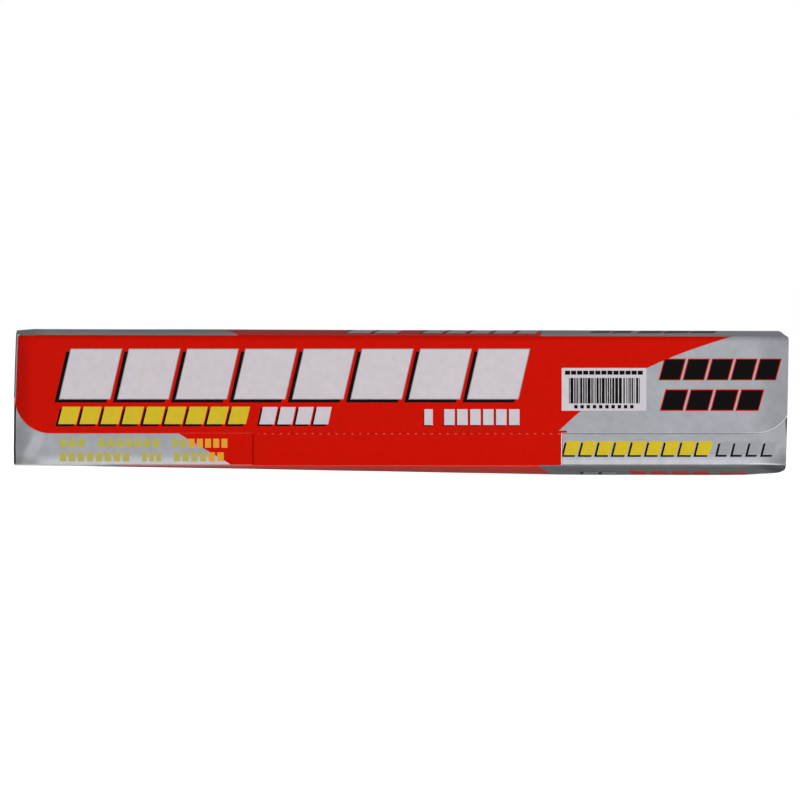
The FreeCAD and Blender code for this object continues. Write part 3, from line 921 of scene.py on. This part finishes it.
def end_sheet(name, y, low, high, side, layers, lid, materials, sizes):
    """A sheet on an end face: upright lines from low to high at each y, on the leaning, swollen face."""
    up = np.linspace(0, 1, PANEL_ROWS)[:, None]
    z = low[None, :] + (high - low)[None, :] * up
    x = end_place(y[None, :], z, side, layers, lid, sizes)
    points = np.stack([x, np.broadcast_to(y, z.shape), z], axis=2)
    if side > 0:
        points = points[:, ::-1]
    kinds = np.ones((PANEL_ROWS - 1, 1), dtype=int)
    return shell_mesh(name, points, grid_normals(points), SHEET_SHARE * sizes.board, kinds, materials)


def roof_line(x, inset, sizes):
    """The lid's roof in section at x as y and z, from its front fold to its back one, moved in from
    the outside by inset."""
    section, _, _ = wrap_section(x, sizes)
    line = section[:, 0]
    ahead = np.gradient(line, axis=0)
    ahead /= np.linalg.norm(ahead, axis=1, keepdims=True)
    inner = line + inset * np.stack([-ahead[:, 1], ahead[:, 0]], axis=1)
    first = FRONT_ROWS_COUNT + 2 * (PANEL_ROWS + FOLD_ROWS)
    return inner[first:first + PANEL_ROWS + 2 * FOLD_ROWS][::-1].T


def arch(y, level, swell, power, sizes):
    """Height of a swollen top or bottom panel at each y, by the curve of panel_points."""
    share = np.clip(np.abs(2 * y / sizes.carton_depth), 0, 1)
    return level + swell * (1 - share ** power)


class CARTON_OT_ends(bpy.types.Operator):
    """Both ends: the wall, the glued closing flap on it and the lid's end flap over that"""

    bl_idname = "carton.ends"
    bl_label = "Ends and end flaps"

    def execute(self, context):
        sizes = context.scene.carton_sizes
        low, high, _ = levels(sizes)
        bare = bpy.data.materials["bare_board"]
        # The ends' film is darkened by painted shade.
        film = printed_board("end_print", ("Y", "Z"), END_FIELD, painted_dimming=END_PAINTED_DIMMING)
        lid_film = printed_board("lid_end_print", ("Y", "Z"), END_FIELD, END_CUT_SHADE_LINES, painted_dimming=END_PAINTED_DIMMING)
        materials = [bare, film]
        inset = sizes.fold_radius
        half = sizes.carton_depth / 2
        for side, name in ((-1, "left"), (1, "right")):
            place = np.array([side * sizes.carton_length / 2])
            roof = top_swell(place, sizes)[0]
            power = roof_power(place, sizes)[0]
            sag = bottom_swell(place, sizes)[0]
            y = -(half - inset) * np.cos(np.linspace(0, math.pi, 48))
            foot = arch(y, low + inset, -sag, floor_power(place, sizes)[0], sizes)
            head = arch(y, high - inset, roof, power, sizes)
            end_sheet("end_wall_" + name, y, foot, head, side, 0, 0, materials, sizes)

            y = np.linspace(CLOSING_SIDE_GAP - half, half - CLOSING_SIDE_GAP, 40)
            y_cut = half - CLOSING_SIDE_GAP - CLOSING_CORNER
            foot = np.full_like(y, low + CLOSING_FOOT_GAP)
            head = foot + CLOSING_HEIGHT - np.maximum(np.abs(y) - y_cut, 0)
            end_sheet("closing_flap_" + name, y, foot, head, side, 1, 0, materials, sizes)

            y = -sizes.board / 2 - (half - LID_INSET + sizes.board / 2) * np.cos(np.linspace(0, math.pi, 64))
            slope = ramp(y, LID_END_FLAT - half, half)
            foot = high - LID_END_DROP + (LID_END_DROP - LID_HINGE_DROP) * slope
            if side > 0:
                foot -= 7.0 * MM * np.sqrt(1 - ramp(y, inset - half - sizes.board, 1.5 * MM - half) ** 2)
            head = np.interp(y, *roof_line(place, LID_INSET, sizes))
            end_sheet("lid_end_flap_" + name, y, foot, head, side, 2, 1, [bare, lid_film], sizes)
        return {"FINISHED"}


def edge_ribbon(name, path, coat, core, materials, sizes):
    """A cut edge of board as a ribbon along a path of (x, z) points, with the sheet to its left: a
    strip of the coating as wide as coat on the face, then a quarter ellipse that stands out by core
    and goes down to the panel behind. Both widths are given at each point, or once for all."""
    ahead = np.gradient(path, axis=0)
    ahead /= np.linalg.norm(ahead, axis=1, keepdims=True)
    inward = np.stack([-ahead[:, 1], ahead[:, 0]], axis=1)
    turn = np.linspace(0, math.pi / 2, 6)
    widths = np.ones(len(path))
    into = np.concatenate([[coat * widths], -np.sin(turn)[:, None] * core * widths])
    proud = RIBBON_PROUD - np.concatenate([[0.0], SHEET_SHARE * sizes.board * (1 - np.cos(turn))])
    spots = path[None] + inward[None] * into[..., None]
    y = front_surface(spots[..., 1], 1, sizes) - proud[:, None]
    points = np.stack([spots[..., 0], y, spots[..., 1]], axis=2)
    kinds = np.array([[0]] + [[1]] * (len(into) - 2))
    return shell_mesh(name, points, grid_normals(points), RIBBON_PROUD, kinds, materials)


class CARTON_OT_edges(bpy.types.Operator):
    """The bare cut edges of the front flap on both sides of the tab"""

    bl_idname = "carton.edges"
    bl_label = "Cut edges of the flap"

    def execute(self, context):
        sizes = context.scene.carton_sizes
        _, _, edge = levels(sizes)
        radius = sizes.flap_corner
        reach = sizes.flap_length / 2 - radius
        tab_left = sizes.tab_shift - sizes.tab_length / 2
        tab_right = sizes.tab_shift + sizes.tab_length / 2
        angles = np.linspace(math.pi, 1.5 * math.pi, 40)
        centre = sizes.flap_shift - reach
        arc = np.stack([centre + radius * np.cos(angles), edge + radius + radius * np.sin(angles)], axis=1)
        straight = np.stack([np.linspace(centre, tab_left, 60)[1:], np.full(59, edge)], axis=1)
        left_path = np.concatenate([arc, straight])
        centre = sizes.flap_shift + reach
        end = end_place(-sizes.carton_depth / 2, edge + radius / 2, 1, 2, 1, sizes)
        limit = math.acos(min(1.0, (end - centre) / radius))
        angles = np.linspace(1.5 * math.pi, 2 * math.pi - limit, 40)
        arc = np.stack([centre + radius * np.cos(angles), edge + radius + radius * np.sin(angles)], axis=1)
        straight = np.stack([np.linspace(tab_right, centre, 60)[:-1], np.full(59, edge)], axis=1)
        right_path = np.concatenate([straight, arc])
        colours = context.scene.carton_colours
        bare = bpy.data.materials["bare_board"]
        core = plain_board("board_core", colours.core, 0.9)
        inked = plain_board("rubbed_ink", colours.worn_and_floor_lit_red, INK_ROUGHNESS)
        joint = plain_board("joint_painted_shadow", colours.joint_shadow_red, INK_ROUGHNESS)
        edge_ribbon("flap_edge_left", left_path, 0.1 * MM, 0.12 * MM, (inked, inked), sizes)
        curved = ramp(right_path[:, 0], centre - 8 * MM, centre + 4 * MM)
        coat = (0.08 + 0.2 * curved) * MM
        cut = (0.3 - 0.22 * curved) * MM
        edge_ribbon("flap_edge_right", right_path, coat, cut, (bare, core), sizes)
        low, _, _ = levels(sizes)
        heights = np.linspace(edge, low + TAB_FOOT_GAP, 30)
        down = np.stack([np.full(30, tab_left), heights], axis=1)
        rise = np.stack([np.full(30, tab_right), heights[::-1]], axis=1)
        # The tab's left edge is red darkened as painted shadow in its joint.
        edge_ribbon("tab_edge_left", down, 0.2 * MM, 0.4 * MM, (joint, joint), sizes)
        edge_ribbon("tab_edge_right", rise, 0.25 * MM, 0.1 * MM, (bare, bare), sizes)
        return {"FINISHED"}


# The photograph's view: the carton's front is seen straight on from near its middle height.
IMAGE_PIXELS = 800
PIXELS_PER_METRE = 2484.5
CAMERA_DISTANCE = 1.6
CAMERA_X, CAMERA_Z = -0.5 * MM, 30.6 * MM
SENSOR_WIDTH = 36.0

# Low soft lamps on both sides in front and weaker ones behind, each with its place in metres and its
# power in watts, and an even light from all around.
LAMPS = (
    ("front_left", (-1.8, -2.2, 0.2), 33.5),
    ("front_right", (1.05, -1.25, 0.2), 15.5),
    ("back_left", (-2.0, 2.0, 0.32), 22.0),
    ("back_right", (2.0, 2.0, 0.32), 22.0),
)
LAMP_WIDTH, LAMP_HEIGHT = 1.4, 0.4
ROOM_LIGHT = 0.2
FLOOR_GLOW = 0.9


class CARTON_OT_stage(bpy.types.Operator):
    """Floor, world, lamps and the camera"""

    bl_idname = "carton.stage"
    bl_label = "Stage, lamps and camera"

    def execute(self, context):
        self.make_floor()
        self.make_world(context)
        for name, place, power in LAMPS:
            self.make_lamp(context, name, place, power)
        self.make_camera(context)
        context.scene.view_settings.view_transform = "Standard"
        return {"FINISHED"}

    def make_floor(self):
        """A wide square under the carton, pale to the camera and still darkened by shadow."""
        half = 6.0
        level = -0.05 * MM
        corners = [(-half, -half, level), (half, -half, level), (half, half, level), (-half, half, level)]
        mesh = bpy.data.meshes.new("floor")
        mesh.from_pydata(corners, [], [(0, 1, 2, 3)])
        floor = bpy.data.objects.new("floor", mesh)
        bpy.context.scene.collection.objects.link(floor)
        material = bpy.data.materials.new("pale_floor")
        material.use_nodes = True
        tree = material.node_tree
        tree.nodes.clear()
        paint = add_node(tree, "ShaderNodeBsdfDiffuse", None, {"Color": (0.85, 0.85, 0.85, 1.0)})
        ray = add_node(tree, "ShaderNodeLightPath")
        seen = add_node(tree, "ShaderNodeMath", {"operation": "MAXIMUM"},
                        {0: ray.outputs["Is Camera Ray"], 1: ray.outputs["Is Glossy Ray"]})
        seen = add_node(tree, "ShaderNodeMath", {"operation": "MAXIMUM"},
                        {0: seen.outputs[0], 1: ray.outputs["Is Transmission Ray"]})
        lift = add_node(tree, "ShaderNodeMath", {"operation": "MULTIPLY"}, {0: seen.outputs[0], 1: FLOOR_GLOW})
        glow = add_node(tree, "ShaderNodeEmission", None, {"Strength": lift.outputs[0]})
        both = add_node(tree, "ShaderNodeAddShader", None, {0: paint.outputs[0], 1: glow.outputs[0]})
        add_node(tree, "ShaderNodeOutputMaterial", None, {"Surface": both.outputs[0]})
        mesh.materials.append(material)

    def make_world(self, context):
        """White where it is seen or mirrored, dimmer as a light, so that the lamp shapes the carton."""
        world = bpy.data.worlds.new("studio")
        world.use_nodes = True
        tree = world.node_tree
        tree.nodes.clear()
        ray = add_node(tree, "ShaderNodeLightPath")
        seen = add_node(tree, "ShaderNodeMath", {"operation": "MAXIMUM"},
                        {0: ray.outputs["Is Camera Ray"], 1: ray.outputs["Is Glossy Ray"]})
        seen = add_node(tree, "ShaderNodeMath", {"operation": "MAXIMUM"},
                        {0: seen.outputs[0], 1: ray.outputs["Is Transmission Ray"]})
        level = add_node(tree, "ShaderNodeMapRange", None, {0: seen.outputs[0], 3: ROOM_LIGHT, 4: 1.0})
        light = add_node(tree, "ShaderNodeBackground", None,
                         {"Color": (1.0, 1.0, 1.0, 1.0), "Strength": level.outputs[0]})
        add_node(tree, "ShaderNodeOutputWorld", None, {"Surface": light.outputs[0]})
        context.scene.world = world

    def make_lamp(self, context, name, place, power):
        """A wide soft lamp that faces the carton."""
        lamp = bpy.data.lights.new(name, "AREA")
        lamp.shape = "RECTANGLE"
        lamp.size = LAMP_WIDTH
        lamp.size_y = LAMP_HEIGHT
        lamp.energy = power
        holder = bpy.data.objects.new(name, lamp)
        holder.location = place
        aim = np.array([0.0, 0.0, CAMERA_Z]) - np.array(place)
        flat = math.hypot(aim[0], aim[1])
        holder.rotation_euler = (math.atan2(flat, -aim[2]), 0.0, math.atan2(-aim[0], aim[1]))
        context.scene.collection.objects.link(holder)

    def make_camera(self, context):
        """A level camera in front of the carton, with the field that gives the photograph's scale."""
        camera = bpy.data.cameras.new("camera")
        camera.sensor_width = SENSOR_WIDTH
        camera.lens = SENSOR_WIDTH * CAMERA_DISTANCE * PIXELS_PER_METRE / IMAGE_PIXELS
        holder = bpy.data.objects.new("camera", camera)
        holder.location = (CAMERA_X, CAD_LOW[1] - CAMERA_DISTANCE, CAMERA_Z)
        holder.rotation_euler = (math.pi / 2, 0.0, 0.0)
        context.scene.collection.objects.link(holder)
        context.scene.camera = holder


class CARTON_PT_panel(bpy.types.Panel):
    """Lists the carton's pieces in the sidebar"""

    bl_idname = "CARTON_PT_panel"
    bl_label = "Foil carton"
    bl_space_type = "VIEW_3D"
    bl_region_type = "UI"
    bl_category = "Carton"

    def draw(self, context):
        for operator in OPERATORS:
            self.layout.operator(operator.bl_idname)
        for group in (context.scene.carton_sizes, context.scene.carton_colours):
            for name in group.bl_rna.properties.keys():
                if name not in ("rna_type", "name"):
                    self.layout.prop(group, name)


OPERATORS = (CARTON_OT_wrap, CARTON_OT_tab, CARTON_OT_ends, CARTON_OT_edges, CARTON_OT_stage)
CLASSES = (CartonSizes, CartonColours, *OPERATORS, CARTON_PT_panel)


def register():
    for item in CLASSES:
        bpy.utils.register_class(item)
    bpy.types.Scene.carton_sizes = bpy.props.PointerProperty(type=CartonSizes)
    bpy.types.Scene.carton_colours = bpy.props.PointerProperty(type=CartonColours)


def unregister():
    del bpy.types.Scene.carton_colours
    del bpy.types.Scene.carton_sizes
    for item in reversed(CLASSES):
        bpy.utils.unregister_class(item)


def main():
    register()
    bpy.ops.carton.wrap()
    bpy.ops.carton.tab()
    bpy.ops.carton.ends()
    bpy.ops.carton.edges()
    bpy.ops.carton.stage()


if __name__ == "__main__":
    main()
